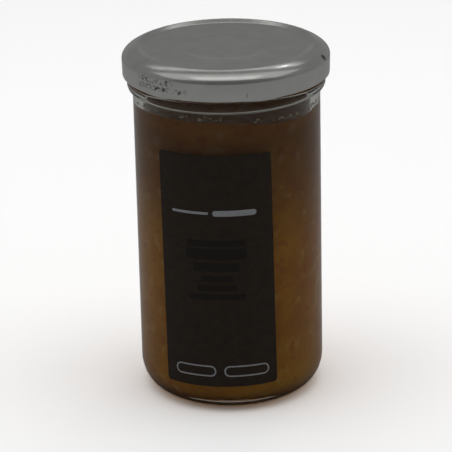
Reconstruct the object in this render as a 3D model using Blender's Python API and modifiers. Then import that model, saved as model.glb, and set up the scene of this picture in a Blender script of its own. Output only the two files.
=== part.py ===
"""A shut glass jar of marmalade with a metal twist-off lid and a paper label.

The jar stands upright on its bearing ring, with its axis on Z and the label facing -Y. All sizes are in
metres. Every turned piece is a profile of (radius, height) points, carried round by a Screw modifier.
"""

import math

import bmesh
import bpy

COLLECTION_NAME = "marmalade_jar"

# Driving dimensions of the glass, from the standing surface up
BODY_RADIUS = 0.03125
WALL_THICKNESS = 0.0030
HEEL_WIDTH = 0.0077
HEEL_HEIGHT = 0.0101
BEARING_RING_WIDTH = 0.0020
PUSH_UP_HEIGHT = 0.0024
PUSH_UP_SHOULDER_RADIUS = 0.0150
PUSH_UP_SHOULDER_HEIGHT = 0.0014
FLOOR_HEIGHT = 0.0036
FLOOR_CROWN = 0.0014
INNER_HEEL_RADIUS = 0.0080
CROWN_KNEE = 0.6
BEAD_RADIUS = 0.03310
BEAD_TOP = 0.11020
BEAD_STRAIGHT_TOP = 0.10910
BEAD_STRAIGHT_BOTTOM = 0.10830
BEAD_UNDERSIDE = 0.10630
BODY_TOP = 0.10560
NECK_RADIUS = 0.03200
LIP_CREST = 0.11840
LIP_RADIUS = 0.0012

# Driving dimensions of the lid
LID_RADIUS = 0.03460
LID_SHEET = 0.00035
SKIRT_BOTTOM = 0.11070
SKIRT_TOP = 0.11660
SKIRT_TAPER = 0.00012
HEM_RADIUS = 0.00070
SHOULDER_WIDTH = 0.01252
SHOULDER_HEIGHT = 0.00474
SHOULDER_DEGREES = 52.0
CREST_RADIUS = 0.00090
STEP_FOOT_RUN = 0.00030
STEP_DEGREES = 23.5
PANEL_HEIGHT = 0.11940
PANEL_RADIUS = 0.02640
BUTTON_RADIUS = 0.01400
BUTTON_DROP = 0.00020
BUTTON_SLOPE = 0.0026

# Driving dimensions of the marmalade
FILL_HEIGHT = 0.10030
FILL_CLEARANCE = 0.0003
FILL_EDGE_WIDTH = 0.0016
FILL_EDGE_RISE = 0.0005
FILL_RISE_LEFT = 0.0016
FILL_RIPPLE = 0.0005
FILL_RISE_AZIMUTH = math.radians(218.0)

# Driving dimensions of the label
LABEL_WIDTH = 0.0394
LABEL_BOTTOM = 0.0098
LABEL_TOP = 0.0918
LABEL_THICKNESS = 0.00025
LABEL_CLEARANCE = 0.0003
LABEL_CORNER = 0.0014
LABEL_CENTRE_ANGLE = math.radians(-8.75)
LABEL_TILT = math.radians(0.8)

# How finely the round pieces are divided
SEGMENTS = 60
MERGE_DISTANCE = 0.00001


def arc(centre, radii, start_degrees, end_degrees, steps):
    """Points along a stretch of an ellipse, both ends included, in profile coordinates."""
    points = []
    for step in range(steps + 1):
        angle = math.radians(start_degrees + (end_degrees - start_degrees) * step / steps)
        radius = centre[0] + radii[0] * math.cos(angle)
        height = centre[1] + radii[1] * math.sin(angle)
        points.append((radius, height))
    return points


def glass_profile():
    """The jar's section, from the middle of its floor up the inside and down the outside."""
    inner_radius = BODY_RADIUS - WALL_THICKNESS
    floor_edge = inner_radius - INNER_HEEL_RADIUS
    lip_inner = inner_radius + LIP_RADIUS
    lip_outer = NECK_RADIUS - LIP_RADIUS
    ring_outer = BODY_RADIUS - HEEL_WIDTH
    ring_inner = ring_outer - BEARING_RING_WIDTH
    bead_depth = BEAD_RADIUS - NECK_RADIUS

    points = [(0.0, FLOOR_HEIGHT + FLOOR_CROWN)]
    points.append((floor_edge * CROWN_KNEE, FLOOR_HEIGHT + FLOOR_CROWN * (1.0 - CROWN_KNEE ** 2)))
    inner_heel_centre = (floor_edge, FLOOR_HEIGHT + INNER_HEEL_RADIUS)
    points += arc(inner_heel_centre, (INNER_HEEL_RADIUS, INNER_HEEL_RADIUS), -90, 0, 4)
    points.append((inner_radius, LIP_CREST - LIP_RADIUS))
    points += arc((lip_inner, LIP_CREST - LIP_RADIUS), (LIP_RADIUS, LIP_RADIUS), 135, 90, 1)
    points += arc((lip_outer, LIP_CREST - LIP_RADIUS), (LIP_RADIUS, LIP_RADIUS), 90, 0, 3)
    points.append((NECK_RADIUS, BEAD_TOP))
    bead_top_centre = (NECK_RADIUS, BEAD_STRAIGHT_TOP)
    points += arc(bead_top_centre, (bead_depth, BEAD_TOP - BEAD_STRAIGHT_TOP), 60, 0, 3)
    points += bead_underside()
    points.append((BODY_RADIUS, HEEL_HEIGHT))
    points += arc((ring_outer, HEEL_HEIGHT), (HEEL_WIDTH, HEEL_HEIGHT), 0, -90, 8)[1:]
    points.append((ring_inner, 0.0))
    points.append((PUSH_UP_SHOULDER_RADIUS, PUSH_UP_SHOULDER_HEIGHT))
    points.append((0.0, PUSH_UP_HEIGHT))
    return points


def bead_underside():
    """The rounded underside of the bead and the hollow fillet that runs out into the body."""
    middle_radius = BODY_RADIUS + (BEAD_RADIUS - BODY_RADIUS) * 0.5
    round_size = (BEAD_RADIUS - middle_radius, BEAD_STRAIGHT_BOTTOM - BEAD_UNDERSIDE)
    hollow_size = (middle_radius - BODY_RADIUS, BEAD_UNDERSIDE - BODY_TOP)
    points = arc((middle_radius, BEAD_STRAIGHT_BOTTOM), round_size, 0, -90, 3)
    points += arc((middle_radius, BODY_TOP), hollow_size, 90, 180, 3)[1:]
    return points


def lid_profile():
    """The outer face of the lid's sheet metal, from its middle out and down to the curled hem."""
    hem_centre = (LID_RADIUS - SKIRT_TAPER - HEM_RADIUS, SKIRT_BOTTOM + HEM_RADIUS)
    points = [(0.0, PANEL_HEIGHT - BUTTON_DROP)]
    points.append((BUTTON_RADIUS - BUTTON_SLOPE * 0.5, PANEL_HEIGHT - BUTTON_DROP))
    points.append((BUTTON_RADIUS + BUTTON_SLOPE * 0.5, PANEL_HEIGHT))
    points += rim_profile()
    points += arc(hem_centre, (HEM_RADIUS, HEM_RADIUS), 0, -180, 4)
    return points


def rim_profile():
    """The raised rim: up from the sunk panel, over a narrow crest and down a wide rounded shoulder."""
    shoulder_centre = (LID_RADIUS - SHOULDER_WIDTH, SKIRT_TOP)
    shoulder = arc(shoulder_centre, (SHOULDER_WIDTH, SHOULDER_HEIGHT), SHOULDER_DEGREES, 0, 7)
    end = math.radians(SHOULDER_DEGREES)
    normal = math.atan2(math.sin(end) / SHOULDER_HEIGHT, math.cos(end) / SHOULDER_WIDTH)
    crest_radius = shoulder[0][0] - CREST_RADIUS * math.cos(normal)
    crest_height = shoulder[0][1] - CREST_RADIUS * math.sin(normal)
    crest_size = (CREST_RADIUS, CREST_RADIUS)
    crest = arc((crest_radius, crest_height), crest_size, 90.0 + STEP_DEGREES, math.degrees(normal), 3)
    slope = math.tan(math.radians(STEP_DEGREES))
    foot_radius = crest[0][0] - (crest[0][1] - PANEL_HEIGHT) / slope
    points = [(PANEL_RADIUS, PANEL_HEIGHT)]
    points.append((foot_radius + STEP_FOOT_RUN, PANEL_HEIGHT + STEP_FOOT_RUN * slope))
    return points + crest[:-1] + shoulder


def marmalade_profile():
    """The filling's section, from the middle of its top out and down the wall to its underside."""
    wall_radius = BODY_RADIUS - WALL_THICKNESS - FILL_CLEARANCE
    underside = FLOOR_HEIGHT + FILL_CLEARANCE
    heel_size = INNER_HEEL_RADIUS - FILL_CLEARANCE
    heel_centre = (wall_radius - heel_size, underside + heel_size)

    points = [(0.0, FILL_HEIGHT)]
    for share in (0.25, 0.5, 0.75):
        points.append((wall_radius * share, FILL_HEIGHT))
    points.append((wall_radius - FILL_EDGE_WIDTH, FILL_HEIGHT))
    points.append((wall_radius, FILL_HEIGHT + FILL_EDGE_RISE))
    points += arc(heel_centre, (heel_size, heel_size), 0, -90, 4)
    points.append((heel_centre[0] * CROWN_KNEE, underside + FLOOR_CROWN * (1.0 - CROWN_KNEE ** 2)))
    points.append((0.0, underside + FLOOR_CROWN))
    return points


def label_outline():
    """The label's flat outline: square corners at the top and small round ones at the bottom."""
    half_width = LABEL_WIDTH * 0.5
    half_height = (LABEL_TOP - LABEL_BOTTOM) * 0.5
    corner = (LABEL_CORNER, LABEL_CORNER)
    right_centre = (half_width - LABEL_CORNER, -half_height + LABEL_CORNER)
    left_centre = (-half_width + LABEL_CORNER, -half_height + LABEL_CORNER)
    points = [(half_width, half_height), (-half_width, half_height)]
    points += arc(left_centre, corner, 180, 270, 3)
    points += arc(right_centre, corner, 270, 360, 3)
    return points


def make_material(name, colour, roughness, metallic=0.0, transmission=0.0):
    """A plain Principled material."""
    material = bpy.data.materials.new(name)
    material.use_nodes = True
    shader = material.node_tree.nodes["Principled BSDF"]
    shader.inputs["Base Color"].default_value = (*colour, 1.0)
    shader.inputs["Roughness"].default_value = roughness
    shader.inputs["Metallic"].default_value = metallic
    shader.inputs["Transmission Weight"].default_value = transmission
    return material


def profile_mesh(name, points):
    """A mesh of one open chain of edges in the XZ plane."""
    mesh = bpy.data.meshes.new(name)
    chain = bmesh.new()
    vertices = []
    for radius, height in points:
        vertices.append(chain.verts.new((radius, 0.0, height)))
    for first, second in zip(vertices, vertices[1:]):
        chain.edges.new((first, second))
    chain.to_mesh(mesh)
    chain.free()
    return mesh


def turned(name, points, material, collection):
    """An object that a Screw modifier turns from a profile, once round the Z axis."""
    mesh = profile_mesh(name, points)
    mesh.materials.append(material)
    piece = bpy.data.objects.new(name, mesh)
    collection.objects.link(piece)
    screw = piece.modifiers.new("turn", 'SCREW')
    screw.axis = 'Z'
    screw.angle = math.tau
    screw.steps = SEGMENTS
    screw.render_steps = SEGMENTS
    screw.use_merge_vertices = True
    screw.merge_threshold = MERGE_DISTANCE
    screw.use_smooth_shade = True
    return piece


def settled(piece):
    """The same object with its modifiers made into a plain mesh."""
    bpy.context.view_layer.update()
    graph = bpy.context.evaluated_depsgraph_get()
    shape = bpy.data.meshes.new_from_object(piece.evaluated_get(graph))
    piece.modifiers.clear()
    piece.data = shape
    return piece


def surface_rise(x, y, wall_radius):
    """How far the marmalade's top stands above its level at a place: higher at the left, rippled."""
    reach = min(1.0, math.hypot(x, y) / wall_radius)
    azimuth = math.atan2(y, x)
    lobe = max(0.0, math.cos(azimuth - FILL_RISE_AZIMUTH)) ** 2
    ripple = math.sin(3.0 * azimuth + 0.7) + 0.6 * math.sin(5.0 * azimuth + 2.1)
    return reach ** 2 * (FILL_RISE_LEFT * lobe + FILL_RIPPLE * ripple)


def build_glass(collection):
    """The clear glass jar."""
    glass = make_material("jar_glass", (0.93, 0.95, 0.93), 0.03, transmission=1.0)
    return turned("glass_jar", glass_profile(), glass, collection)


def build_lid(collection):
    """The twist-off lid: one sheet of metal with a wall of even thickness."""
    metal = make_material("lid_metal", (0.42, 0.42, 0.41), 0.35, metallic=1.0)
    lid = turned("lid", lid_profile(), metal, collection)
    wall = lid.modifiers.new("sheet", 'SOLIDIFY')
    wall.thickness = LID_SHEET
    wall.offset = -1.0
    wall.use_even_offset = True
    return lid


def build_marmalade(collection):
    """The filling, with its slightly uneven top."""
    preserve = make_material("orange_marmalade", (0.30, 0.13, 0.03), 0.3)
    filling = settled(turned("marmalade", marmalade_profile(), preserve, collection))
    wall_radius = BODY_RADIUS - WALL_THICKNESS - FILL_CLEARANCE
    for vertex in filling.data.vertices:
        if vertex.co.z > FILL_HEIGHT - FILL_CLEARANCE:
            vertex.co.z += surface_rise(vertex.co.x, vertex.co.y, wall_radius)
    return filling


def build_label(collection):
    """The paper label: a flat sheet turned by its tilt, cut at the glass's facets and wrapped round."""
    paper = make_material("label_paper", (0.011, 0.009, 0.007), 0.6)
    curve = bpy.data.curves.new("label_sheet", 'CURVE')
    curve.dimensions = '2D'
    curve.fill_mode = 'BOTH'
    curve.extrude = LABEL_THICKNESS * 0.5
    outline = label_outline()
    spline = curve.splines.new('POLY')
    spline.points.add(len(outline) - 1)
    spline.use_cyclic_u = True
    for point, (across, up) in zip(spline.points, outline):
        turned_across = across * math.cos(LABEL_TILT) - up * math.sin(LABEL_TILT)
        turned_up = across * math.sin(LABEL_TILT) + up * math.cos(LABEL_TILT)
        point.co = (turned_across, turned_up, 0.0, 1.0)
    sheet = bpy.data.objects.new("label_sheet", curve)
    collection.objects.link(sheet)
    bpy.context.view_layer.update()
    graph = bpy.context.evaluated_depsgraph_get()
    mesh = bpy.data.meshes.new_from_object(sheet.evaluated_get(graph))
    bpy.data.objects.remove(sheet)

    mesh.name = "label"
    wrap_on_glass(mesh)
    mesh.materials.clear()
    mesh.materials.append(paper)
    mesh.shade_smooth()
    mesh.set_sharp_from_angle(angle=math.radians(40.0))
    label = bpy.data.objects.new("label", mesh)
    collection.objects.link(label)
    return label


def wrap_on_glass(mesh):
    """Cuts a flat sheet at every facet line of the glass and bends it round the body."""
    facet = math.tau / SEGMENTS
    inner_radius = BODY_RADIUS + LABEL_CLEARANCE
    centre_height = (LABEL_TOP + LABEL_BOTTOM) * 0.5
    reach = LABEL_WIDTH * 0.5 / inner_radius + abs(LABEL_CENTRE_ANGLE)
    lines = math.ceil(reach / facet)

    sheet = bmesh.new()
    sheet.from_mesh(mesh)
    bmesh.ops.remove_doubles(sheet, verts=sheet.verts[:], dist=MERGE_DISTANCE)
    for line in range(-lines, lines + 1):
        across = (line * facet - LABEL_CENTRE_ANGLE) * inner_radius
        everything = sheet.verts[:] + sheet.edges[:] + sheet.faces[:]
        bmesh.ops.bisect_plane(
            sheet, geom=everything, dist=MERGE_DISTANCE, plane_co=(across, 0.0, 0.0), plane_no=(1.0, 0.0, 0.0)
        )
    bmesh.ops.triangulate(sheet, faces=sheet.faces[:])
    for vertex in sheet.verts:
        angle = vertex.co.x / inner_radius + LABEL_CENTRE_ANGLE
        radius = inner_radius + LABEL_THICKNESS * 0.5 + vertex.co.z
        height = vertex.co.y + centre_height
        vertex.co = (radius * math.sin(angle), -radius * math.cos(angle), height)
    sheet.to_mesh(mesh)
    sheet.free()


def main():
    """Clears the scene and builds the jar, its lid, its label and the marmalade in it."""
    for item in list(bpy.data.objects):
        bpy.data.objects.remove(item)
    collection = bpy.data.collections.new(COLLECTION_NAME)
    bpy.context.scene.collection.children.link(collection)
    stand = bpy.data.objects.new("jar_axis", None)
    collection.objects.link(stand)
    for build in (build_glass, build_lid, build_marmalade, build_label):
        piece = build(collection)
        piece.parent = stand


main()
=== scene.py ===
"""The dressed model of a shut jar of marmalade.

Clear glass, a satin metal twist-off lid, a dark paper label with plain printed shapes, and the
marmalade with its peel. All sizes are in metres, +Z is up and the label's side faces -Y.
"""

from __future__ import annotations

import logging
import math
import random
from dataclasses import dataclass, field
from enum import Enum

import bpy
from mathutils import Matrix, Vector, noise

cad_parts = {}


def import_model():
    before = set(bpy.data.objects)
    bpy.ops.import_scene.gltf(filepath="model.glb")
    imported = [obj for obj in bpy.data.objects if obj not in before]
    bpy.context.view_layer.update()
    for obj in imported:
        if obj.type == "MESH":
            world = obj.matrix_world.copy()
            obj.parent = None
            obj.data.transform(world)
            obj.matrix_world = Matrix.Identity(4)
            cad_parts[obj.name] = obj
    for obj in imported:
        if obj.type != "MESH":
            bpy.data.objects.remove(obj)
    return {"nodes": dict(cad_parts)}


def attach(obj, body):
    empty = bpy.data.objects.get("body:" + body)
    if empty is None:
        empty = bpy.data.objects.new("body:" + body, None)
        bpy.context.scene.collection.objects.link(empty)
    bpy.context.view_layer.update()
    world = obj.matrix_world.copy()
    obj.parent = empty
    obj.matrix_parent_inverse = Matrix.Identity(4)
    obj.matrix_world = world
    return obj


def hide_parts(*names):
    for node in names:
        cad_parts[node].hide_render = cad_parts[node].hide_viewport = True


LOG = logging.getLogger("marmalade_jar")
Point = tuple[float, float]
Colour = tuple[float, float, float]
MERGE_DISTANCE = 0.000002
BODY = "root"


def clear_selection() -> None:
    """Leaves edit mode and selects nothing."""
    if bpy.context.object and bpy.context.object.mode != 'OBJECT':
        bpy.ops.object.mode_set(mode='OBJECT')
    bpy.ops.object.select_all(action='DESELECT')


def arc(centre: Point, radii: Point, start: float, end: float, steps: int) -> list[Point]:
    """Points along a stretch of an ellipse.

    Args:
        centre: Middle of the ellipse, as (radius, height).
        radii: Half its width and half its height.
        start: First angle in degrees, from the outward direction.
        end: Last angle in degrees.
        steps: How many chords make the stretch.

    Returns:
        The points, both ends included.
    """
    points = []
    for step in range(steps + 1):
        angle = math.radians(start + (end - start) * step / steps)
        points.append((centre[0] + radii[0] * math.cos(angle), centre[1] + radii[1] * math.sin(angle)))
    return points


def turned(name: str, outline: list[Point], steps: int) -> bpy.types.Object:
    """Turns an outline into a round piece: one vertex, extruded along the outline, then spun.

    Args:
        name: The piece's name.
        outline: Points as (radius, height).
        steps: How many facets go round.

    Returns:
        The piece, with its faces pointing outwards.
    """
    clear_selection()
    bpy.ops.mesh.primitive_plane_add(size=0.001)
    piece = bpy.context.object
    piece.name = name
    piece.data.name = name
    bpy.ops.object.mode_set(mode='EDIT')
    bpy.ops.mesh.merge(type='CENTER')
    bpy.ops.transform.translate(value=(outline[0][0], 0.0, outline[0][1]))
    for before, after in zip(outline, outline[1:]):
        step = (after[0] - before[0], 0.0, after[1] - before[1])
        bpy.ops.mesh.extrude_region_move(TRANSFORM_OT_translate={"value": step})
    bpy.ops.mesh.select_all(action='SELECT')
    bpy.ops.mesh.spin(steps=steps, angle=math.tau, center=(0.0, 0.0, 0.0), axis=(0.0, 0.0, 1.0))
    bpy.ops.mesh.select_all(action='SELECT')
    bpy.ops.mesh.remove_doubles(threshold=MERGE_DISTANCE)
    bpy.ops.mesh.normals_make_consistent(inside=False)
    bpy.ops.object.mode_set(mode='OBJECT')
    return piece


def thicken(piece: bpy.types.Object, thickness: float, offset: float) -> None:
    """Gives a thin surface its wall.

    Args:
        piece: The open surface.
        thickness: The wall's thickness.
        offset: -1 grows the wall inwards, +1 outwards.
    """
    wall = piece.modifiers.new("wall", 'SOLIDIFY')
    wall.thickness = thickness
    wall.offset = offset
    wall.use_even_offset = True
    clear_selection()
    piece.select_set(True)
    bpy.context.view_layer.objects.active = piece
    bpy.ops.object.modifier_apply(modifier=wall.name)


def smooth(piece: bpy.types.Object, degrees: float) -> None:
    """Shades a piece smooth, but for edges sharper than an angle in degrees."""
    clear_selection()
    piece.select_set(True)
    bpy.context.view_layer.objects.active = piece
    bpy.ops.object.shade_smooth_by_angle(angle=math.radians(degrees))


def settle(piece: bpy.types.Object, finish: bpy.types.Material) -> None:
    """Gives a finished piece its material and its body.

    Args:
        piece: The piece, already in place.
        finish: The material.
    """
    piece.data.materials.clear()
    piece.data.materials.append(finish)
    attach(piece, BODY)
    LOG.info("%s: %d faces", piece.name, len(piece.data.polygons))


class Shade:
    """Adds and links the nodes of one material or one node group."""

    def __init__(self, tree: bpy.types.NodeTree) -> None:
        """Keeps the node tree that is worked on."""
        self.tree = tree

    def add(self, kind: str, **inputs: object) -> bpy.types.Node:
        """Adds a node and feeds its inputs.

        Args:
            kind: The node's type name.
            **inputs: Values or outgoing sockets, by input name with _ for a space.

        Returns:
            The node.
        """
        node = self.tree.nodes.new(kind)
        for name, value in inputs.items():
            self.feed(node.inputs[name.replace("_", " ")], value)
        return node

    def feed(self, socket: bpy.types.NodeSocket, value: object) -> None:
        """Links an outgoing socket to an input, or sets a plain value on it."""
        if isinstance(value, bpy.types.NodeSocket):
            self.tree.links.new(value, socket)
        else:
            socket.default_value = value

    def math(self, operation: str, first: object, second: object = 0.0, clamp: bool = False) -> object:
        """A Math node.

        Args:
            operation: The node's operation.
            first: First value or socket.
            second: Second value or socket.
            clamp: Keeps the result between 0 and 1.

        Returns:
            The result's socket.
        """
        node = self.tree.nodes.new("ShaderNodeMath")
        node.operation = operation
        node.use_clamp = clamp
        self.feed(node.inputs[0], first)
        self.feed(node.inputs[1], second)
        return node.outputs[0]

    def spread(self, value: object, low: float, high: float, to_low: float, to_high: float) -> object:
        """Maps a range of values smoothly on another and returns the result's socket."""
        node = self.tree.nodes.new("ShaderNodeMapRange")
        node.interpolation_type = 'SMOOTHSTEP'
        self.feed(node.inputs["Value"], value)
        for name, limit in (("From Min", low), ("From Max", high), ("To Min", to_low), ("To Max", to_high)):
            node.inputs[name].default_value = limit
        return node.outputs["Result"]

    def blend(self, factor: object, first: object, second: object, how: str = 'MIX') -> object:
        """Mixes two colours.

        Args:
            factor: Share of the second colour.
            first: Colour or socket.
            second: Colour or socket.
            how: The Mix node's blend type.

        Returns:
            The result's socket.
        """
        node = self.tree.nodes.new("ShaderNodeMix")
        node.data_type = 'RGBA'
        node.blend_type = how
        colour_inputs = [socket for socket in node.inputs if socket.type == 'RGBA']
        self.feed(node.inputs["Factor"], factor)
        for socket, value in zip(colour_inputs, (first, second)):
            self.feed(socket, (*value, 1.0) if isinstance(value, tuple) and len(value) == 3 else value)
        return [socket for socket in node.outputs if socket.type == 'RGBA'][0]

    def place(self) -> object:
        """The Object coordinates of the surface."""
        return self.tree.nodes.new("ShaderNodeTexCoord").outputs["Object"]

    def grain(self, vector: object, scale: float, detail: float, roughness: float) -> object:
        """A noise value over the surface.

        Args:
            vector: Coordinates, in metres.
            scale: Blotches for each metre.
            detail: How many octaves.
            roughness: Weight of the finer octaves.

        Returns:
            The value's socket.
        """
        node = self.add("ShaderNodeTexNoise", Vector=vector, Scale=scale, Detail=detail, Roughness=roughness)
        return node.outputs["Fac"]


def new_material(name: str) -> tuple[bpy.types.Material, Shade, bpy.types.Node]:
    """A material with one Principled shader, its tree's builder and that shader."""
    material = bpy.data.materials.new(name)
    material.use_nodes = True
    return material, Shade(material.node_tree), material.node_tree.nodes["Principled BSDF"]


class EffectGroups:
    """The shader node groups that more than one finish uses, each built once."""

    def __init__(self) -> None:
        """Builds the groups."""
        self.mottle = self.build_mottle()
        self.spot = self.build_spot()
        self.round_wall = self.build_round_wall()

    @staticmethod
    def start(name: str, inputs: dict[str, str], outputs: dict[str, str]) -> tuple[Shade, object, object]:
        """Starts a node group.

        Args:
            name: The group's name.
            inputs: Socket types by input name.
            outputs: Socket types by output name.

        Returns:
            The tree's builder, its group input node and its group output node.
        """
        tree = bpy.data.node_groups.new(name, "ShaderNodeTree")
        for label, kind in inputs.items():
            tree.interface.new_socket(name=label, in_out='INPUT', socket_type=kind)
        for label, kind in outputs.items():
            tree.interface.new_socket(name=label, in_out='OUTPUT', socket_type=kind)
        entry = tree.nodes.new("NodeGroupInput")
        leave = tree.nodes.new("NodeGroupOutput")
        return Shade(tree), entry, leave

    def build_mottle(self) -> bpy.types.NodeTree:
        """Soft blotches over a surface, between two values."""
        sockets = {
            "Vector": "NodeSocketVector", "Scale": "NodeSocketFloat",
            "Low": "NodeSocketFloat", "High": "NodeSocketFloat",
        }
        shade, entry, leave = self.start("soft_mottle", sockets, {"Value": "NodeSocketFloat"})
        cloud = shade.add(
            "ShaderNodeTexNoise", Vector=entry.outputs["Vector"], Scale=entry.outputs["Scale"],
            Detail=3.0, Roughness=0.55,
        )
        even = shade.spread(cloud.outputs["Fac"], 0.3, 0.7, 0.0, 1.0)
        reach = shade.math('SUBTRACT', entry.outputs["High"], entry.outputs["Low"])
        rise = shade.math('MULTIPLY', even, reach)
        shade.feed(leave.inputs["Value"], shade.math('ADD', rise, entry.outputs["Low"]))
        return shade.tree

    def build_spot(self) -> bpy.types.NodeTree:
        """A soft-edged mask round one place on a surface."""
        sockets = {"Vector": "NodeSocketVector", "Place": "NodeSocketVector", "Radius": "NodeSocketFloat"}
        shade, entry, leave = self.start("spot_mask", sockets, {"Mask": "NodeSocketFloat"})
        gap = shade.tree.nodes.new("ShaderNodeVectorMath")
        gap.operation = 'DISTANCE'
        shade.feed(gap.inputs[0], entry.outputs["Vector"])
        shade.feed(gap.inputs[1], entry.outputs["Place"])
        share = shade.math('DIVIDE', gap.outputs["Value"], entry.outputs["Radius"])
        shade.feed(leave.inputs["Mask"], shade.spread(share, 0.6, 1.0, 1.0, 0.0))
        return shade.tree

    def build_round_wall(self) -> bpy.types.NodeTree:
        """Unrolls the wall of a round piece: across in metres from the front, and height."""
        sockets = {"Vector": "NodeSocketVector", "Radius": "NodeSocketFloat"}
        outputs = {"Flat": "NodeSocketVector", "Across": "NodeSocketFloat", "Height": "NodeSocketFloat"}
        shade, entry, leave = self.start("unrolled_wall", sockets, outputs)
        parts = shade.add("ShaderNodeSeparateXYZ", Vector=entry.outputs["Vector"])
        front = shade.math('MULTIPLY', parts.outputs["Y"], -1.0)
        angle = shade.math('ARCTAN2', parts.outputs["X"], front)
        across = shade.math('MULTIPLY', angle, entry.outputs["Radius"])
        flat = shade.add("ShaderNodeCombineXYZ", X=across, Y=parts.outputs["Z"])
        shade.feed(leave.inputs["Flat"], flat.outputs["Vector"])
        shade.feed(leave.inputs["Across"], across)
        shade.feed(leave.inputs["Height"], parts.outputs["Z"])
        return shade.tree

    def use(self, shade: Shade, group: bpy.types.NodeTree, **inputs: object) -> bpy.types.Node:
        """Places a group in a material.

        Args:
            shade: The material's builder.
            group: One of the groups.
            **inputs: Values or sockets by input name.

        Returns:
            The group's node.
        """
        node = shade.tree.nodes.new("ShaderNodeGroup")
        node.node_tree = group
        for name, value in inputs.items():
            shade.feed(node.inputs[name], value)
        return node


@dataclass(frozen=True)
class ClearGlass:
    """Moulded glass, clear with a faint green-grey tint."""

    tint: Colour = (0.94, 0.945, 0.90)
    index: float = 1.5
    gloss: Colour = (0.5, 0.5, 0.5)
    ripple_scale: float = 60.0
    ripple_height: float = 0.00006

    def make(self, effects: EffectGroups) -> bpy.types.Material:
        """Builds the material from the shared effects."""
        material, shade, shader = new_material("clear_jar_glass")
        shader.inputs["Base Color"].default_value = (*self.tint, 1.0)
        shader.inputs["Transmission Weight"].default_value = 1.0
        shader.inputs["IOR"].default_value = self.index
        shader.inputs["Specular Tint"].default_value = (*self.gloss, 1.0)
        rough = effects.use(shade, effects.mottle, Vector=shade.place(), Scale=240.0, Low=0.004, High=0.03)
        shade.feed(shader.inputs["Roughness"], rough.outputs["Value"])
        ripple = shade.grain(shade.place(), self.ripple_scale, 2.0, 0.5)
        bump = shade.add("ShaderNodeBump", Height=ripple, Strength=0.35, Distance=self.ripple_height)
        shade.feed(shader.inputs["Normal"], bump.outputs["Normal"])
        return material


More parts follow.
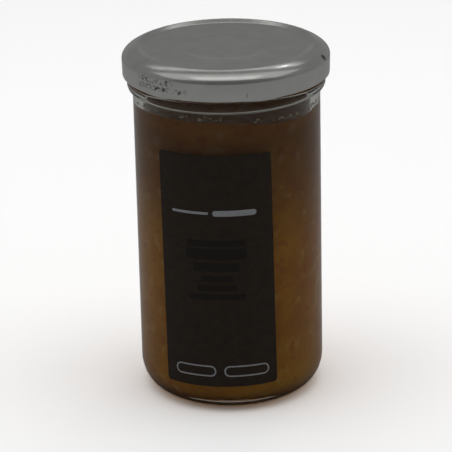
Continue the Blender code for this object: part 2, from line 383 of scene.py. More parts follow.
@dataclass(frozen=True)
class LacqueredTin:
    """The lid's thin tinplate under a satin silver-grey lacquer, with its ink code and small marks."""

    light: Colour = (0.69, 0.688, 0.665)
    dark: Colour = (0.64, 0.638, 0.615)
    ink: Colour = (0.06, 0.06, 0.06)
    gold: Colour = (0.62, 0.48, 0.20)
    skirt_radius: float = 0.0346
    inner_radius: float = 0.03436
    inner_heights: Point = (0.1124, 0.1161)
    neck_reach: float = 0.0328
    code_left: float = -0.0335
    code_rows: tuple[tuple[float, float, float], ...] = (
        (0.1150, 0.1168, -0.0165), (0.1127, 0.1145, -0.0120)
    )
    speck: tuple[float, float, float] = (0.0320, -0.0111, 0.1182)
    nick: Point = (0.0066, 0.1129)
    nick_size: Point = (0.0006, 0.0011)

    def code_mask(self, effects: EffectGroups, shade: Shade) -> object:
        """Two rows of blurred ink marks, with no letters in them.

        Args:
            effects: The shared groups.
            shade: The material's builder.

        Returns:
            The mask's socket.
        """
        wall = effects.use(shade, effects.round_wall, Vector=shade.place(), Radius=self.skirt_radius)
        across = wall.outputs["Across"]
        height = wall.outputs["Height"]
        left = shade.spread(across, self.code_left - 0.0008, self.code_left + 0.0008, 0.0, 1.0)
        rows = []
        for low, high, right_end in self.code_rows:
            above = shade.spread(height, low - 0.0002, low + 0.0003, 0.0, 1.0)
            below = shade.spread(height, high - 0.0003, high + 0.0002, 1.0, 0.0)
            right = shade.spread(across, right_end - 0.0040, right_end, 1.0, 0.0)
            rows.append(shade.math('MULTIPLY', shade.math('MULTIPLY', above, below), right))
        band = shade.math('MULTIPLY', left, shade.math('ADD', *rows))
        flat = wall.outputs["Flat"]
        marks = shade.spread(shade.grain(flat, 850.0, 1.0, 0.5), 0.40, 0.66, 0.0, 1.0)
        smear = shade.spread(shade.grain(flat, 260.0, 1.0, 0.5), 0.35, 0.6, 0.35, 1.0)
        return shade.math('MULTIPLY', band, shade.math('MULTIPLY', marks, smear))

    def nick_mask(self, effects: EffectGroups, shade: Shade) -> object:
        """One faint upright nick in the skirt.

        Args:
            effects: The shared groups.
            shade: The material's builder.

        Returns:
            The mask's socket.
        """
        wall = effects.use(shade, effects.round_wall, Vector=shade.place(), Radius=self.skirt_radius)
        aside = shade.math('ABSOLUTE', shade.math('SUBTRACT', wall.outputs["Across"], self.nick[0]))
        above = shade.math('ABSOLUTE', shade.math('SUBTRACT', wall.outputs["Height"], self.nick[1]))
        narrow = shade.spread(aside, 0.0, self.nick_size[0], 1.0, 0.0)
        tall = shade.spread(above, self.nick_size[1] * 0.4, self.nick_size[1], 1.0, 0.0)
        return shade.math('MULTIPLY', narrow, tall)

    def inside_mask(self, shade: Shade) -> object:
        """The gold lacquer on the inside of the skirt and under the top.

        Args:
            shade: The material's builder.

        Returns:
            The mask's socket.
        """
        parts = shade.add("ShaderNodeSeparateXYZ", Vector=shade.place())
        level = shade.add("ShaderNodeCombineXYZ", X=parts.outputs["X"], Y=parts.outputs["Y"])
        reach = shade.tree.nodes.new("ShaderNodeVectorMath")
        reach.operation = 'LENGTH'
        shade.feed(reach.inputs[0], level.outputs["Vector"])
        inner = shade.spread(reach.outputs["Value"], self.inner_radius, self.inner_radius + 0.00004, 1.0, 0.0)
        bottom, top = self.inner_heights
        low = shade.spread(parts.outputs["Z"], bottom, bottom + 0.0004, 0.0, 1.0)
        high = shade.spread(parts.outputs["Z"], top, top + 0.0002, 1.0, 0.0)
        wall = shade.math('MULTIPLY', inner, shade.math('MULTIPLY', low, high))
        facing = shade.add("ShaderNodeSeparateXYZ")
        shade.feed(facing.inputs[0], shade.tree.nodes.new("ShaderNodeNewGeometry").outputs["True Normal"])
        down = shade.spread(facing.outputs["Z"], -0.5, -0.3, 1.0, 0.0)
        over_neck = shade.spread(reach.outputs["Value"], self.neck_reach, self.neck_reach + 0.0002, 1.0, 0.0)
        return shade.math('MAXIMUM', wall, shade.math('MULTIPLY', down, over_neck))

    def make(self, effects: EffectGroups) -> bpy.types.Material:
        """Builds the material from the shared effects."""
        material, shade, shader = new_material("lacquered_tin")
        place = shade.place()
        cloud = effects.use(shade, effects.mottle, Vector=place, Scale=170.0, Low=0.0, High=1.0)
        metal = shade.blend(cloud.outputs["Value"], self.dark, self.light)
        code = shade.math('MULTIPLY', self.code_mask(effects, shade), 0.95)
        speck = effects.use(shade, effects.spot, Vector=place, Place=self.speck, Radius=0.0014)
        nick = shade.math('MULTIPLY', self.nick_mask(effects, shade), 0.34)
        marks = shade.math('MAXIMUM', shade.math('MAXIMUM', code, nick), speck.outputs["Mask"])
        inside = self.inside_mask(shade)
        skin = shade.blend(inside, shade.blend(marks, metal, self.ink), self.gold)
        shade.feed(shader.inputs["Base Color"], skin)
        covered = shade.math('MAXIMUM', marks, inside)
        shade.feed(shader.inputs["Metallic"], shade.spread(covered, 0.0, 1.0, 0.92, 0.0))
        rough = effects.use(shade, effects.mottle, Vector=place, Scale=500.0, Low=0.15, High=0.21)
        shade.feed(shader.inputs["Roughness"], rough.outputs["Value"])
        wave = shade.grain(place, 1400.0, 2.0, 0.6)
        bump = shade.add("ShaderNodeBump", Height=wave, Strength=0.2, Distance=0.00003)
        shade.feed(shader.inputs["Normal"], bump.outputs["Normal"])
        return material


@dataclass(frozen=True)
class DarkPaper:
    """The label's coated paper: very dark brown, matt, with a fine fibre."""

    base: Colour = (0.031, 0.0185, 0.0100)
    pale: Colour = (0.039, 0.0245, 0.0140)

    def make(self, effects: EffectGroups) -> bpy.types.Material:
        """Builds the material from the shared effects."""
        material, shade, shader = new_material("dark_label_paper")
        wall = effects.use(shade, effects.round_wall, Vector=shade.place(), Radius=0.0313)
        cloud = effects.use(shade, effects.mottle, Vector=wall.outputs["Flat"], Scale=300.0, Low=0.0, High=1.0)
        shade.feed(shader.inputs["Base Color"], shade.blend(cloud.outputs["Value"], self.base, self.pale))
        rough = effects.use(shade, effects.mottle, Vector=wall.outputs["Flat"], Scale=900.0, Low=0.5, High=0.66)
        shade.feed(shader.inputs["Roughness"], rough.outputs["Value"])
        shader.inputs["Specular IOR Level"].default_value = 0.3
        fibre = shade.grain(wall.outputs["Flat"], 4200.0, 3.0, 0.7)
        bump = shade.add("ShaderNodeBump", Height=fibre, Strength=0.2, Distance=0.00004)
        shade.feed(shader.inputs["Normal"], bump.outputs["Normal"])
        return material


class Ink(Enum):
    """The two inks on the label: pale grey, and a black gloss that hardly shows on the paper."""

    PALE = "pale"
    BLACK = "black"


@dataclass(frozen=True)
class LabelInk:
    """A printed ink, a little uneven where the paper's fibre shows through."""

    ink: Ink
    full: Colour
    thin: Colour
    roughness: float

    def make(self, effects: EffectGroups) -> bpy.types.Material:
        """Builds the material from the shared effects."""
        material, shade, shader = new_material(f"{self.ink.value}_label_ink")
        cover = effects.use(shade, effects.mottle, Vector=shade.place(), Scale=2600.0, Low=0.0, High=1.0)
        shade.feed(shader.inputs["Base Color"], shade.blend(cover.outputs["Value"], self.thin, self.full))
        shader.inputs["Roughness"].default_value = self.roughness
        shader.inputs["Specular IOR Level"].default_value = 0.3
        return material


@dataclass(frozen=True)
class OrangeJelly:
    """The marmalade: amber brown, cloudy, with soft lighter and redder patches under its surface."""

    deep: Colour = (0.66, 0.270, 0.022)
    middle: Colour = (0.81, 0.390, 0.036)
    light: Colour = (0.88, 0.56, 0.12)
    red: Colour = (0.60, 0.175, 0.030)
    # Painted shade: darker and bluer towards the top, standing in for the lid's shadow on the upper marmalade.
    painted_top_shade: Colour = (0.43, 0.41, 0.92)
    # Painted light: a lighter band just under the fill line, over part of that painted shade.
    painted_rim_light: float = 1.22
    painted_rim_light_heights: Point = (0.0950, 0.0992)
    painted_top_shade_heights: Point = (0.046, 0.100)

    def make(self, effects: EffectGroups) -> bpy.types.Material:
        """Builds the material from the shared effects."""
        material, shade, shader = new_material("orange_jelly")
        place = shade.place()
        large = effects.use(shade, effects.mottle, Vector=place, Scale=60.0, Low=0.0, High=1.0)
        small = effects.use(shade, effects.mottle, Vector=place, Scale=360.0, Low=0.0, High=1.0)
        body = shade.blend(large.outputs["Value"], self.deep, self.middle)
        pale = shade.spread(shade.grain(place, 190.0, 2.0, 0.5), 0.57, 0.68, 0.0, 0.45)
        zest = shade.spread(shade.grain(place, 235.0, 2.0, 0.6), 0.58, 0.68, 0.0, 0.42)
        mixed = shade.blend(zest, shade.blend(pale, body, self.light), self.red)
        height = shade.add("ShaderNodeSeparateXYZ", Vector=place).outputs["Z"]
        # Painted light and shade: lighter just under the fill line, darker and bluer towards the top.
        lift = shade.spread(height, *self.painted_rim_light_heights, 1.0, self.painted_rim_light)
        shade_fades = [shade.spread(height, *self.painted_top_shade_heights, 1.0, share) for share in self.painted_top_shade]
        red, green, blue = (shade.math('MULTIPLY', fade, lift) for fade in shade_fades)
        upper = shade.add("ShaderNodeCombineColor", Red=red, Green=green, Blue=blue)
        shade.feed(shader.inputs["Base Color"], shade.blend(1.0, mixed, upper.outputs["Color"], 'MULTIPLY'))
        rough = effects.use(shade, effects.mottle, Vector=place, Scale=300.0, Low=0.25, High=0.4)
        shade.feed(shader.inputs["Roughness"], rough.outputs["Value"])
        shader.inputs["Subsurface Weight"].default_value = 0.4
        shader.inputs["Subsurface Radius"].default_value = (1.0, 0.5, 0.15)
        shader.inputs["Subsurface Scale"].default_value = 0.0025
        shader.inputs["Specular IOR Level"].default_value = 0.02
        bump = shade.add("ShaderNodeBump", Height=small.outputs["Value"], Strength=0.3, Distance=0.0004)
        shade.feed(shader.inputs["Normal"], bump.outputs["Normal"])
        return material


class Fleck(Enum):
    """The kinds of small piece that show in the marmalade."""

    PITH = "pith"
    ZEST = "zest"
    SEED_SKIN = "seed_skin"


@dataclass(frozen=True)
class CandiedPeel:
    """A small piece of candied peel, cloudy, mottled between a thin and a full colour."""

    fleck: Fleck
    full: Colour
    thin: Colour

    def make(self, effects: EffectGroups) -> bpy.types.Material:
        """Builds the material from the shared effects."""
        material, shade, shader = new_material(f"candied_{self.fleck.value}")
        cloud = effects.use(shade, effects.mottle, Vector=shade.place(), Scale=500.0, Low=0.0, High=1.0)
        shade.feed(shader.inputs["Base Color"], shade.blend(cloud.outputs["Value"], self.thin, self.full))
        shader.inputs["Roughness"].default_value = 0.35
        shader.inputs["Specular IOR Level"].default_value = 0.06
        shader.inputs["Subsurface Weight"].default_value = 0.3
        shader.inputs["Subsurface Radius"].default_value = (1.0, 0.5, 0.2)
        shader.inputs["Subsurface Scale"].default_value = 0.0015
        return material


@dataclass(frozen=True)
class PaleFroth:
    """The whitish froth and droplets left on the glass over the marmalade."""

    colour: Colour = (0.98, 0.86, 0.62)

    def make(self, effects: EffectGroups) -> bpy.types.Material:
        """Builds the material from the shared effects."""
        material, shade, shader = new_material("pale_froth")
        cloud = effects.use(shade, effects.mottle, Vector=shade.place(), Scale=900.0, Low=0.0, High=1.0)
        darker = tuple(0.6 * channel for channel in self.colour)
        shade.feed(shader.inputs["Base Color"], shade.blend(cloud.outputs["Value"], darker, self.colour))
        shader.inputs["Roughness"].default_value = 0.2
        shader.inputs["Transmission Weight"].default_value = 0.25
        shader.inputs["IOR"].default_value = 1.38
        return material


@dataclass
class GlassJar:
    """The turned glass: bearing ring, wide heel, straight body, bead, neck and lip."""

    body_radius: float = 0.03125
    wall: float = 0.0030
    heel: Point = (0.0077, 0.0101)
    ring_width: float = 0.0020
    push_up: float = 0.0024
    push_up_shoulder: Point = (0.0150, 0.0014)
    floor_height: float = 0.0036
    floor_crown: float = 0.0014
    inner_heel: float = 0.0080
    bead_radius: float = 0.0331
    bead_heights: tuple[float, float, float, float] = (0.1102, 0.1091, 0.1083, 0.1063)
    body_top: float = 0.1056
    neck_radius: float = 0.0320
    lip_crest: float = 0.1184
    lip_round: float = 0.0012
    facets: int = 160

    @property
    def inner_radius(self) -> float:
        """The inside radius of the body."""
        return self.body_radius - self.wall

    def floor_line(self, lift: float, reach: float) -> list[Point]:
        """The inside of the base, from its middle out and up to the straight wall.

        Args:
            lift: How far over the glass the line runs.
            reach: How far into the wall it goes at its outer end.

        Returns:
            The points.
        """
        edge = self.inner_radius - self.inner_heel
        points = []
        for step in range(6):
            share = step / 6.0
            points.append((edge * share, self.floor_height + lift + self.floor_crown * (1.0 - share ** 2)))
        size = self.inner_heel + reach
        return points + arc((edge, self.floor_height + lift + size), (size, size), -90.0, 0.0, 14)

    def bead_line(self) -> list[Point]:
        """The bead under the lid, from the neck down to the body."""
        top, straight_top, straight_bottom, underside = self.bead_heights
        middle = (self.body_radius + self.bead_radius) * 0.5
        points = arc(
            (self.neck_radius, straight_top), (self.bead_radius - self.neck_radius, top - straight_top), 90, 0, 8
        )
        points += arc((middle, straight_bottom), (self.bead_radius - middle, straight_bottom - underside), 0, -90, 9)
        points += arc((middle, self.body_top), (middle - self.body_radius, underside - self.body_top), 90, 180, 9)[1:]
        return points

    def outline(self) -> list[Point]:
        """The whole section, from the middle of the floor, up the inside and down the outside."""
        ring_outer = self.body_radius - self.heel[0]
        lip_height = self.lip_crest - self.lip_round
        lip = (self.lip_round, self.lip_round)
        points = self.floor_line(0.0, 0.0)
        points += arc((self.inner_radius + self.lip_round, lip_height), lip, 180, 90, 6)
        points += arc((self.neck_radius - self.lip_round, lip_height), lip, 90, 0, 6)
        points += self.bead_line()
        points += arc((ring_outer, self.heel[1]), self.heel, 0, -90, 22)
        points.append((ring_outer - self.ring_width, 0.0))
        points.append(self.push_up_shoulder)
        points.append((self.push_up_shoulder[0] * 0.5, self.push_up * 0.93))
        points.append((0.0, self.push_up))
        return points

    def build(self, effects: EffectGroups) -> bpy.types.Object:
        """Turns the jar, dresses it and lets it stand for the CAD's glass.

        Args:
            effects: The shared groups.

        Returns:
            The finished glass.
        """
        glass = turned("jar_glass_shell", self.outline(), self.facets)
        smooth(glass, 50.0)
        settle(glass, ClearGlass().make(effects))
        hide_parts("glass_jar")
        return glass


@dataclass
class TwistOffLid:
    """The lid: sunk panel and button, narrow crest, wide shoulder, skirt and curled hem."""

    radius: float = 0.0346
    sheet: float = 0.00028
    skirt_bottom: float = 0.1107
    skirt_top: float = 0.1166
    skirt_taper: float = 0.00012
    hem: float = 0.0007
    shoulder: Point = (0.01252, 0.00474)
    shoulder_degrees: float = 52.0
    crest: float = 0.0009
    step_degrees: float = 23.5
    panel_height: float = 0.1194
    panel_radius: float = 0.0264
    button: Point = (0.0140, -0.00020)
    button_slope: float = 0.0026
    lugs: int = 6
    lug_azimuth: float = math.radians(-130.0)
    lug_half_width: float = math.radians(13.0)
    lug_drop: float = 0.0004
    facets: int = 168

    def rim_line(self) -> list[Point]:
        """The rim, from the panel's edge over the crest and down the shoulder."""
        centre = (self.radius - self.shoulder[0], self.skirt_top)
        shoulder = arc(centre, self.shoulder, self.shoulder_degrees, 0.0, 20)
        end = math.radians(self.shoulder_degrees)
        normal = math.atan2(math.sin(end) / self.shoulder[1], math.cos(end) / self.shoulder[0])
        middle = (
            shoulder[0][0] - self.crest * math.cos(normal),
            shoulder[0][1] - self.crest * math.sin(normal),
        )
        crest = arc(middle, (self.crest, self.crest), 90.0 + self.step_degrees, math.degrees(normal), 8)
        slope = math.tan(math.radians(self.step_degrees))
        foot = crest[0][0] - (crest[0][1] - self.panel_height) / slope
        round_run = foot - self.panel_radius
        points = []
        for step in range(7):
            share = step / 6.0
            rise = slope * round_run * share ** 2
            points.append((self.panel_radius + 2.0 * round_run * share, self.panel_height + rise))
        return points + crest[:-1] + shoulder

    def outline(self) -> list[Point]:
        """The outer face, from the middle out and down to the end of the curled hem."""
        radius, rise = self.button
        points = [(0.0, self.panel_height + rise), (radius * 0.5, self.panel_height + rise)]
        for step in range(7):
            share = step / 6.0
            fall = rise * 0.5 * (1.0 + math.cos(math.pi * share))
            points.append((radius + self.button_slope * (share - 0.5), self.panel_height + fall))
        points += self.rim_line()
        hem_centre = (self.radius - self.skirt_taper - self.hem, self.skirt_bottom + self.hem)
        points.append((hem_centre[0] + self.hem + 0.00004, hem_centre[1] + 0.0018))
        return points + arc(hem_centre, (self.hem, self.hem), 0, -180, 12)

    def press_lugs(self, lid: bpy.types.Object) -> None:
        """Draws the hem down a little where each lug is pressed in."""
        spacing = math.tau / self.lugs
        for vertex in lid.data.vertices:
            azimuth = math.atan2(vertex.co.y, vertex.co.x)
            off = (azimuth - self.lug_azimuth + spacing * 0.5) % spacing - spacing * 0.5
            across = max(0.0, 1.0 - (off / self.lug_half_width) ** 2)
            low = max(0.0, 1.0 - (vertex.co.z - self.skirt_bottom) / 0.0022)
            vertex.co.z -= self.lug_drop * across ** 2 * low

    def build(self, effects: EffectGroups) -> bpy.types.Object:
        """Turns the lid, gives it its wall and lets it stand for the CAD's lid.

        Args:
            effects: The shared groups.

        Returns:
            The finished lid.
        """
        lid = turned("tin_lid", self.outline(), self.facets)
        thicken(lid, self.sheet, -1.0)
        self.press_lugs(lid)
        smooth(lid, 60.0)
        settle(lid, LacqueredTin().make(effects))
        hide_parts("lid")
        return lid


@dataclass
class Marmalade:
    """The filling: it reaches just into the glass wall, and its top is a little uneven."""

    jar: GlassJar
    level: float = 0.1003
    edge_width: float = 0.0016
    edge_rise: float = 0.0005
    reach: float = 0.00005
    rise_left: float = 0.0016
    ripple: float = 0.0005
    lump: float = 0.0005
    rise_azimuth: float = math.radians(218.0)
    facets: int = 160

    def outline(self) -> list[Point]:
        """The section, from the middle of the underside out, up the wall and in over the top."""
        wall = self.jar.inner_radius + self.reach
        points = self.jar.floor_line(-self.reach, self.reach)
        points.append((wall, self.level + self.edge_rise))
        for step in range(1, 6):
            share = step / 5.0
            points.append((wall - self.edge_width * share, self.level + self.edge_rise * (1.0 - share) ** 2))
        rings = 16
        for step in range(1, rings + 1):
            share = 1.0 - step / rings
            points.append(((wall - self.edge_width) * share, self.level))
        return points

    def surface_rise(self, x: float, y: float) -> float:
        """How far the top stands above its level at a place.

        Args:
            x: Place across.
            y: Place in depth.

        Returns:
            The rise, larger at the left and with small lumps.
        """
        reach = min(1.0, math.hypot(x, y) / self.jar.inner_radius)
        azimuth = math.atan2(y, x)
        lobe = max(0.0, math.cos(azimuth - self.rise_azimuth)) ** 2
        wave = math.sin(3.0 * azimuth + 0.7) + 0.6 * math.sin(5.0 * azimuth + 2.1)
        lumps = noise.noise(Vector((x, y, 0.0)) * 260.0) + 0.5 * noise.noise(Vector((x, y, 0.01)) * 620.0)
        return reach ** 2 * (self.rise_left * lobe + self.ripple * wave) + self.lump * lumps

    def build(self, effects: EffectGroups) -> bpy.types.Object:
        """Turns the filling, unsettles its top and lets it stand for the CAD's marmalade.

        Args:
            effects: The shared groups.

        Returns:
            The finished filling.
        """
        filling = turned("marmalade_filling", self.outline(), self.facets)
        for vertex in filling.data.vertices:
            if vertex.co.z > self.level - self.edge_rise:
                vertex.co.z += self.surface_rise(vertex.co.x, vertex.co.y)
        smooth(filling, 60.0)
        settle(filling, OrangeJelly().make(effects))
        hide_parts("marmalade")
        return filling


@dataclass
class Peel:
    """Fine-cut peel: small flat chips, sunk in the marmalade and showing just behind the glass."""

    jar: GlassJar
    top: float
    counts: dict[Fleck, int] = field(
        default_factory=lambda: {Fleck.PITH: 50, Fleck.ZEST: 40, Fleck.SEED_SKIN: 30}
    )
    lengths: dict[Fleck, Point] = field(
        default_factory=lambda: {
            Fleck.PITH: (0.0008, 0.0042), Fleck.ZEST: (0.0008, 0.0034), Fleck.SEED_SKIN: (0.0005, 0.0012),
        }
    )
    half_thickness: float = 0.00045
    proud: float = 0.00012
    seed: int = 41

    def chip(self, draw: random.Random, fleck: Fleck, index: int) -> bpy.types.Object:
        """One chip, lying against the inside of the glass.

        Args:
            draw: The seeded random source.
            fleck: Its kind.
            index: Which chip it is.

        Returns:
            The chip.
        """
        shortest, longest = self.lengths[fleck]
        half_length = 0.5 * (shortest + (longest - shortest) * draw.random() ** 2.0)
        half_width = half_length * draw.uniform(0.35, 0.8)
        turn = draw.uniform(0.0, math.pi)
        azimuth = draw.uniform(0.0, math.tau)
        height = draw.uniform(self.jar.floor_height + 0.010, self.top - 0.004)
        sunk = draw.uniform(0.0, 0.00010)
        bend = draw.uniform(-0.5, 0.5)
        bpy.ops.mesh.primitive_ico_sphere_add(subdivisions=2, radius=1.0)
        piece = bpy.context.object
        piece.name = f"{fleck.value}_{index}"
        middle = self.jar.inner_radius + self.proud - sunk - self.half_thickness
        drift = Vector((azimuth * 7.0, height * 300.0, 0.0))
        for vertex in piece.data.vertices:
            swell = 1.0 + 0.35 * noise.noise(vertex.co * 1.3 + drift)
            along = vertex.co.x * half_length * swell
            across = vertex.co.y * half_width * swell + bend * along * along / half_length
            flat_x = along * math.cos(turn) - across * math.sin(turn)
            flat_z = along * math.sin(turn) + across * math.cos(turn)
            radius = middle + vertex.co.z * self.half_thickness
            angle = azimuth + flat_x / middle
            vertex.co = (radius * math.cos(angle), radius * math.sin(angle), height + flat_z)
        return piece

    def build(self, effects: EffectGroups) -> None:
        """Makes the chips, joined into one piece for each kind.

        Args:
            effects: The shared groups.
        """
        finishes = {
            Fleck.PITH: CandiedPeel(Fleck.PITH, (0.76, 0.46, 0.11), (0.62, 0.33, 0.06)),
            Fleck.ZEST: CandiedPeel(Fleck.ZEST, (0.56, 0.17, 0.025), (0.54, 0.22, 0.036)),
            Fleck.SEED_SKIN: CandiedPeel(Fleck.SEED_SKIN, (0.17, 0.06, 0.012), (0.30, 0.12, 0.025)),
        }
        draw = random.Random(self.seed)
        for fleck, finish in finishes.items():
            clear_selection()
            chips = [self.chip(draw, fleck, index) for index in range(self.counts[fleck])]
            join_pieces(chips, f"peel_{fleck.value}", finish.make(effects), 80.0)


def join_pieces(
    pieces: list[bpy.types.Object], name: str, finish: bpy.types.Material, degrees: float
) -> bpy.types.Object:
    """Joins like pieces into one, faces outwards, and settles it.

    Args:
        pieces: The pieces.
        name: The joined piece's name.
        finish: The material.
        degrees: Edges sharper than this stay sharp.

    Returns:
        The joined piece.
    """
    clear_selection()
    for piece in pieces:
        piece.select_set(True)
    bpy.context.view_layer.objects.active = pieces[0]
    bpy.ops.object.join()
    joined = bpy.context.object
    joined.name = name
    joined.data.name = name
    bpy.ops.object.mode_set(mode='EDIT')
    bpy.ops.mesh.select_all(action='SELECT')
    bpy.ops.mesh.normals_make_consistent(inside=False)
    bpy.ops.object.mode_set(mode='OBJECT')
    bpy.ops.object.transform_apply(location=True, rotation=True, scale=True)
    smooth(joined, degrees)
    settle(joined, finish)
    return joined


@dataclass
class FillLine:
    """Froth and droplets on the inside of the glass, in small clusters over the marmalade."""

    marmalade: Marmalade
    clusters: tuple[tuple[float, int, float], ...] = (
        (-31.0, 4, 1.0), (-27.0, 4, 1.0), (-17.0, 6, 0.8), (-13.0, 5, 0.7), (-5.0, 6, 0.5), (20.0, 5, 0.8),
        (31.0, 6, 0.6), (37.0, 8, 0.6), (43.0, 8, 0.6), (49.0, 8, 0.6), (-52.0, 6, 0.5), (-63.0, 6, 0.7),
        (66.0, 8, 0.9), (74.0, 7, 0.8), (-75.0, 6, 0.7), (108.0, 6, 0.7), (131.0, 8, 0.7), (150.0, 5, 0.9),
        (176.0, 7, 0.6), (-158.0, 8, 0.8), (-137.0, 5, 0.6), (-111.0, 7, 0.8), (-96.0, 5, 0.6),
    )
    largest: float = 0.00058
    smallest: float = 0.00014
    band: Point = (0.0010, 0.0021)
    seed: int = 7

    def drop(self, draw: random.Random, azimuth: float, size: float, index: int) -> bpy.types.Object:
        """One droplet on the glass.

        Args:
            draw: The seeded random source.
            azimuth: Where it sits, counted from +X.
            size: Its radius.
            index: Which droplet it is.

        Returns:
            The droplet.
        """
        wall = self.marmalade.jar.inner_radius
        x = wall * math.cos(azimuth)
        y = wall * math.sin(azimuth)
        level = self.marmalade.level + self.marmalade.edge_rise + self.marmalade.surface_rise(x, y)
        height = level + self.band[0] + (self.band[1] - self.band[0]) * draw.random() ** 1.5
        bpy.ops.mesh.primitive_ico_sphere_add(subdivisions=2, radius=size)
        piece = bpy.context.object
        piece.name = f"froth_{index}"
        flatten = Matrix.Diagonal((0.5, draw.uniform(1.0, 1.6), 1.0, 1.0))
        piece.data.transform(Matrix.Translation((x, y, height)) @ Matrix.Rotation(azimuth, 4, 'Z') @ flatten)
        return piece

    def build(self, effects: EffectGroups) -> bpy.types.Object:
        """Makes the droplets and joins them.

        Args:
            effects: The shared groups.

        Returns:
            The finished droplets.
        """
        draw = random.Random(self.seed)
        drops = []
        clear_selection()
        for middle, count, scale in self.clusters:
            for _ in range(count):
                azimuth = math.radians(middle - 90.0 + draw.gauss(0.0, 1.5))
                size = self.smallest + (self.largest * scale - self.smallest) * draw.random() ** 1.3
                drops.append(self.drop(draw, azimuth, size, len(drops)))
        return join_pieces(drops, "wall_froth", PaleFroth().make(effects), 80.0)


@dataclass(frozen=True)
class PrintedShape:
    """One plain printed shape: its middle, its size and, for an outline, the stroke's width."""

    name: str
    ink: Ink
    middle: Point
    size: Point
    stroke: float = 0.0


@dataclass
class PaperLabel:
    """The label: a sheet wrapped round the glass, and its plain printed bars and outlines."""

    glass_radius: float = 0.03125
    width: float = 0.0394
    bottom: float = 0.0098
    top: float = 0.0918
    thickness: float = 0.00010
    off_glass: float = 0.00003
    ink_rise: float = 0.00002
    corner: float = 0.0014
    centre_angle: float = math.radians(-8.75)
    tilt: float = math.radians(0.8)
    facet: float = math.tau / 240
    prints: list[PrintedShape] = field(default_factory=list)

    def design(self) -> list[PrintedShape]:
        """The printed shapes, placed from the label's middle across and from the glass's base up."""
        shapes = [
            PrintedShape("fine_rule", Ink.PALE, (-0.0084, 0.0718), (0.0130, 0.0009)),
            PrintedShape("bold_rule", Ink.PALE, (0.0068, 0.0718), (0.0146, 0.0020)),
            PrintedShape("left_outline", Ink.PALE, (-0.0085, 0.0154), (0.0146, 0.0040), 0.00050),
            PrintedShape("right_outline", Ink.PALE, (0.0092, 0.0154), (0.0154, 0.0040), 0.00050),
        ]
        rows = (
            (0.0612, 0.0199, 0.0022), (0.0574, 0.0206, 0.0038), (0.0528, 0.0155, 0.0030),
            (0.0487, 0.0107, 0.0021), (0.0454, 0.0134, 0.0021), (0.0422, 0.0190, 0.0021),
        )
        for index, (height, width, depth) in enumerate(rows):
            shapes.append(PrintedShape(f"dark_row_{index}", Ink.BLACK, (0.0001, height), (width, depth)))
        return shapes

    def flat_sheet(self, name: str, size: Point) -> bpy.types.Object:
        """A flat rectangle of the given size, lying in the XY plane round the origin."""
        clear_selection()
        bpy.ops.mesh.primitive_plane_add(size=1.0)
        sheet = bpy.context.object
        sheet.name = name
        sheet.data.name = name
        bpy.ops.object.mode_set(mode='EDIT')
        bpy.ops.transform.resize(value=(size[0], size[1], 1.0))
        bpy.ops.object.mode_set(mode='OBJECT')
        return sheet

    def round_corners(self, sheet: bpy.types.Object, radius: float, lower_only: bool) -> None:
        """Rounds a flat sheet's corners.

        Args:
            sheet: The flat sheet, still one face.
            radius: The corners' radius.
            lower_only: Leaves the two upper corners square.
        """
        for vertex in sheet.data.vertices:
            vertex.select = not (lower_only and vertex.co.y > 0.0)
        bpy.ops.object.mode_set(mode='EDIT')
        bpy.context.tool_settings.mesh_select_mode = (True, False, False)
        bpy.ops.mesh.bevel(offset=radius, segments=6, profile=0.5, affect='VERTICES')
        bpy.ops.object.mode_set(mode='OBJECT')

    def hollow(self, sheet: bpy.types.Object, stroke: float) -> None:
        """Leaves only a printed outline of a flat shape, stroke wide."""
        bpy.ops.object.mode_set(mode='EDIT')
        bpy.ops.mesh.select_all(action='SELECT')
        bpy.ops.mesh.inset(thickness=stroke, depth=0.0)
        bpy.ops.mesh.delete(type='FACE')
        bpy.ops.object.mode_set(mode='OBJECT')

    def wrap(self, sheet: bpy.types.Object, middle: Point, rise: float) -> None:
        """Bends a flat shape round the glass.

        Args:
            sheet: The flat shape.
            middle: Its middle, across from the label's middle and up from the base.
            rise: How far over the glass it lies.
        """
        radius = self.glass_radius + rise
        step = self.facet * radius
        half = max(vertex.co.x for vertex in sheet.data.vertices)
        lines = math.ceil(half / step)
        bpy.ops.object.mode_set(mode='EDIT')
        for line in range(-lines, lines + 1):
            bpy.ops.mesh.select_all(action='SELECT')
            bpy.ops.mesh.bisect(plane_co=(line * step, 0.0, 0.0), plane_no=(1.0, 0.0, 0.0))
        bpy.ops.object.mode_set(mode='OBJECT')
        label_middle = (self.top + self.bottom) * 0.5
        for vertex in sheet.data.vertices:
            across = vertex.co.x + middle[0]
            up = vertex.co.y + middle[1] - label_middle
            tilted_across = across * math.cos(self.tilt) - up * math.sin(self.tilt)
            tilted_up = across * math.sin(self.tilt) + up * math.cos(self.tilt)
            angle = tilted_across / radius + self.centre_angle
            vertex.co = (radius * math.sin(angle), -radius * math.cos(angle), tilted_up + label_middle)

    def build_sheet(self, effects: EffectGroups) -> bpy.types.Object:
        """The paper itself, which stands for the CAD's label."""
        paper = self.flat_sheet("label_sheet", (self.width, self.top - self.bottom))
        self.round_corners(paper, self.corner, lower_only=True)
        self.wrap(paper, (0.0, (self.top + self.bottom) * 0.5), self.off_glass)
        thicken(paper, self.thickness, 1.0)
        smooth(paper, 50.0)
        settle(paper, DarkPaper().make(effects))
        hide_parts("label")
        return paper

    def build_print(self, shape: PrintedShape, finish: bpy.types.Material) -> bpy.types.Object:
        """One printed shape, lying on the paper.

        Args:
            shape: Which shape.
            finish: Its ink.

        Returns:
            The finished shape.
        """
        printed = self.flat_sheet(f"print_{shape.name}", shape.size)
        corner = min(shape.size) * (0.49 if shape.ink is Ink.PALE else 0.2)
        self.round_corners(printed, corner, lower_only=False)
        if shape.stroke > 0.0:
            self.hollow(printed, shape.stroke)
        self.wrap(printed, shape.middle, self.off_glass + self.thickness)
        thicken(printed, self.ink_rise, 1.0)
        smooth(printed, 50.0)
        settle(printed, finish)
        return printed

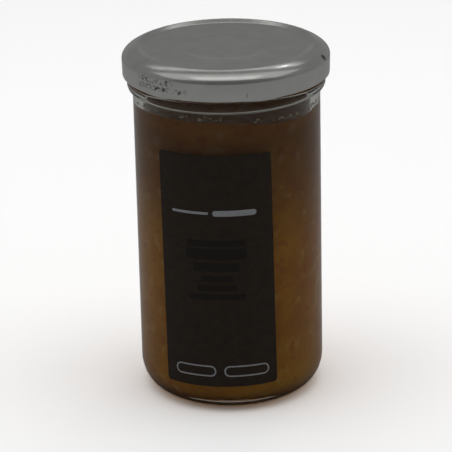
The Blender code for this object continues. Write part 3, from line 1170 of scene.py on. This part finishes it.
    def build(self, effects: EffectGroups) -> bpy.types.Object:
        """Makes the sheet and everything printed on it.

        Args:
            effects: The shared groups.

        Returns:
            The label's sheet.
        """
        inks = {
            Ink.PALE: LabelInk(Ink.PALE, (0.56, 0.57, 0.60), (0.40, 0.41, 0.43), 0.5).make(effects),
            Ink.BLACK: LabelInk(Ink.BLACK, (0.008, 0.004, 0.002), (0.012, 0.007, 0.003), 0.35).make(effects),
        }
        paper = self.build_sheet(effects)
        self.prints = self.design()
        for shape in self.prints:
            self.build_print(shape, inks[shape.ink])
        return paper


@dataclass
class Studio:
    """The pale floor, the soft light and the camera at the photograph's angle."""

    floor_size: float = 6.0
    floor_shown: float = 3.2
    floor_near: float = 0.84
    floor_far: float = 0.80
    # Painted shadow: the floor's tone under the jar, for lights and reflections.
    painted_floor_shadow: float = 0.25
    surroundings: float = 0.20
    front_shade: float = 0.10
    back_glow: float = 0.24
    backdrop_shown: float = 1.0
    lens: float = 195.4
    camera_place: tuple[float, float, float] = (0.0, -0.7804, 0.3541)
    camera_aim: tuple[float, float, float] = (-0.0012, 0.0, 0.0556)
    camera_roll: float = math.radians(-1.284)

    @staticmethod
    def grey(value: float) -> Colour:
        """A plain grey of one value."""
        return (value, value, value)

    def camera_only(self, shade: Shade, shown: float, lit: object) -> object:
        """A grey that the camera sees, and another tone that lights and reflections get."""
        ray = shade.tree.nodes.new("ShaderNodeLightPath")
        return shade.blend(ray.outputs["Is Camera Ray"], lit, self.grey(shown))

    def build_floor(self) -> None:
        """A large flat floor, a little darker behind the jar than before it, with a painted shadow round the jar in
        the tone that lights and reflections get.
        """
        clear_selection()
        bpy.ops.mesh.primitive_plane_add(size=self.floor_size)
        floor = bpy.context.object
        floor.name = "studio_floor"
        material = bpy.data.materials.new("pale_floor")
        material.use_nodes = True
        shade = Shade(material.node_tree)
        shader = material.node_tree.nodes["Principled BSDF"]
        parts = shade.add("ShaderNodeSeparateXYZ", Vector=shade.place())
        behind = shade.spread(parts.outputs["Y"], 0.0, 0.35, 0.0, 1.0)
        open_floor = shade.blend(behind, self.grey(self.floor_near), self.grey(self.floor_far))
        reach = shade.tree.nodes.new("ShaderNodeVectorMath")
        reach.operation = 'LENGTH'
        shade.feed(reach.inputs[0], shade.place())
        # Painted shadow: lights and reflections get a darker floor under and round the jar.
        painted_shadow_mask = shade.spread(reach.outputs["Value"], 0.025, 0.038, 1.0, 0.0)
        lit = shade.blend(painted_shadow_mask, open_floor, self.grey(self.painted_floor_shadow))
        shade.feed(shader.inputs["Base Color"], self.camera_only(shade, self.floor_shown, lit))
        shader.inputs["Roughness"].default_value = 0.9
        shader.inputs["Specular IOR Level"].default_value = 0.0
        floor.data.materials.append(material)

    def build_world(self) -> None:
        """Grey surroundings, darker in front and lighter low behind, seen as white by the camera."""
        world = bpy.data.worlds.new("studio_surroundings")
        bpy.context.scene.world = world
        world.use_nodes = True
        shade = Shade(world.node_tree)
        background = world.node_tree.nodes["Background"]
        direction = shade.tree.nodes.new("ShaderNodeTexCoord").outputs["Generated"]
        parts = shade.add("ShaderNodeSeparateXYZ", Vector=direction)
        ahead = shade.spread(parts.outputs["Y"], -0.85, -0.05, 1.0, 0.0)
        under = shade.spread(parts.outputs["Z"], 0.80, 0.95, 1.0, 0.0)
        above = shade.spread(parts.outputs["Z"], -0.05, 0.35, 0.35, 1.0)
        dim = shade.math('MULTIPLY', shade.math('MULTIPLY', ahead, under), above)
        shaded = shade.blend(dim, self.grey(self.surroundings), self.grey(self.front_shade))
        behind = shade.spread(parts.outputs["Y"], 0.2, 0.85, 0.0, 1.0)
        low = shade.spread(parts.outputs["Z"], 0.05, 0.28, 1.0, 0.0)
        glow = shade.math('MULTIPLY', behind, low)
        tone = shade.blend(glow, shaded, self.grey(self.back_glow))
        shade.feed(background.inputs["Color"], self.camera_only(shade, self.backdrop_shown, tone))

    def build_light(self, name: str, place: Point, size: Point, azimuth: float, radiance: float) -> None:
        """One soft box that looks at the jar.

        Args:
            name: The light's name.
            place: Its distance from the jar and its elevation in degrees.
            size: Its width and height.
            azimuth: Where it stands, in degrees round from -Y towards +X.
            radiance: How bright its face is.
        """
        distance, elevation = place
        lamp = bpy.data.lights.new(name, 'AREA')
        lamp.shape = 'RECTANGLE'
        lamp.size, lamp.size_y = size
        lamp.energy = radiance * math.pi * size[0] * size[1]
        holder = bpy.data.objects.new(name, lamp)
        bpy.context.scene.collection.objects.link(holder)
        level = math.cos(math.radians(elevation)) * distance
        turn = math.radians(azimuth)
        holder.location = (
            level * math.sin(turn), -level * math.cos(turn), math.sin(math.radians(elevation)) * distance
        )
        aim = Vector((0.0, 0.0, 0.1)) - holder.location
        holder.rotation_euler = aim.to_track_quat('-Z', 'Y').to_euler()

    def build_camera(self) -> None:
        """The camera, placed as it stood for the photograph."""
        lens = bpy.data.cameras.new("photo_camera")
        lens.lens = self.lens
        lens.sensor_width = 36.0
        camera = bpy.data.objects.new("photo_camera", lens)
        bpy.context.scene.collection.objects.link(camera)
        camera.location = self.camera_place
        aim = Vector(self.camera_aim) - camera.location
        turn = aim.to_track_quat('-Z', 'Y').to_matrix() @ Matrix.Rotation(self.camera_roll, 3, 'Z')
        camera.rotation_euler = turn.to_euler()
        bpy.context.scene.camera = camera

    def build(self) -> None:
        """Sets up the whole stage."""
        self.build_camera()
        self.build_floor()
        self.build_world()
        self.build_light("overhead_wide_box", (1.2, 88.0), (2.4, 0.93), 0.0, 0.29)
        self.build_light("overhead_core_box", (1.18, 85.0), (0.84, 0.44), 0.0, 0.34)
        self.build_light("back_bar", (1.22, 54.6), (1.2, 0.17), 181.0, 0.45)
        self.build_light("back_right_spot", (1.26, 52.2), (0.10, 0.06), 153.0, 2.6)
        bpy.context.scene.view_settings.view_transform = 'Standard'


def main(frame: dict[str, object]) -> None:
    """Builds the stage and every piece, in order.

    Args:
        frame: What the loaded frame gives.
    """
    logging.basicConfig(level=logging.INFO, format="%(name)s %(message)s")
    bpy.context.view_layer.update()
    LOG.info("nodes in the frame: %s", ", ".join(sorted(frame["nodes"])))
    Studio().build()
    effects = EffectGroups()
    jar = GlassJar()
    jar.build(effects)
    TwistOffLid().build(effects)
    marmalade = Marmalade(jar)
    marmalade.build(effects)
    Peel(jar, marmalade.level).build(effects)
    FillLine(marmalade).build(effects)
    PaperLabel().build(effects)


if __name__ == "__main__":
    main(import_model())
